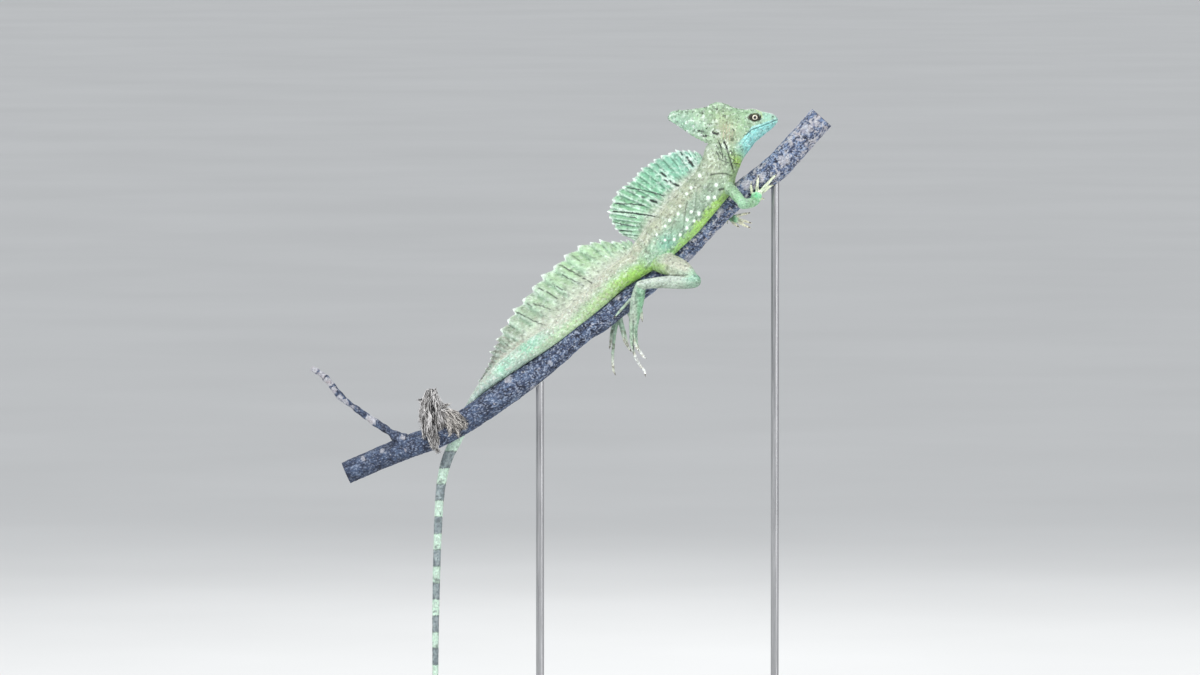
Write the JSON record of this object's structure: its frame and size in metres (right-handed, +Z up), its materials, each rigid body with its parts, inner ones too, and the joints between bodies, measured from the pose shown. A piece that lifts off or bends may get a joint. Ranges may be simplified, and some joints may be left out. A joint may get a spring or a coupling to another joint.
{
  "type": "green basilisk lizard on a branch, museum model",
  "caption": "Life-size green crested lizard lying on a sloping branch, with a tall back sail and tail fin, its long tail hanging down, held on a flat base by upright rods.",
  "frame": {"origin": "on the floor under the middle of the model's box", "axes": "+Z up, +X along the branch's plan towards the head, the animal's right side faces -Y"},
  "size_m": [0.5217, 0.18, 0.73],
  "materials": {
    "skin": "small matt scales, slightly moist sheen",
    "fin": "thin scaly skin over bony rays, satin",
    "eye": "wet, glossy, yellow iris round a dark pupil",
    "bark": "dark slate bark with pale lichen",
    "fibre": "dry, pale, fibrous bark shreds",
    "plinth": "satin black paint",
    "steel": "brushed dark steel"
  },
  "bodies": {
    "root": {"head": "skin", "head_crest": "skin", "eye_right": "eye", "eye_left": "eye", "neck": "skin", "torso": "skin", "dorsal_sail": "fin", "tail_base": "skin", "tail_crest": "fin", "tail_bend": "skin", "tail_upper": "skin", "tail_lower": "skin", "upper_arm_right": "skin", "forearm_right": "skin", "hand_right": "skin", "upper_arm_left": "skin", "forearm_left": "skin", "hand_left": "skin", "thigh_right": "skin", "shank_right": "skin", "foot_right": "skin", "thigh_left": "skin", "shank_left": "skin", "foot_left": "skin", "perch_branch": "bark", "perch_twig": "bark", "perch_tuft": "fibre", "stand_base": "plinth", "stand_rod_low": "steel", "stand_rod_high": "steel"}
  },
  "joints": []
}
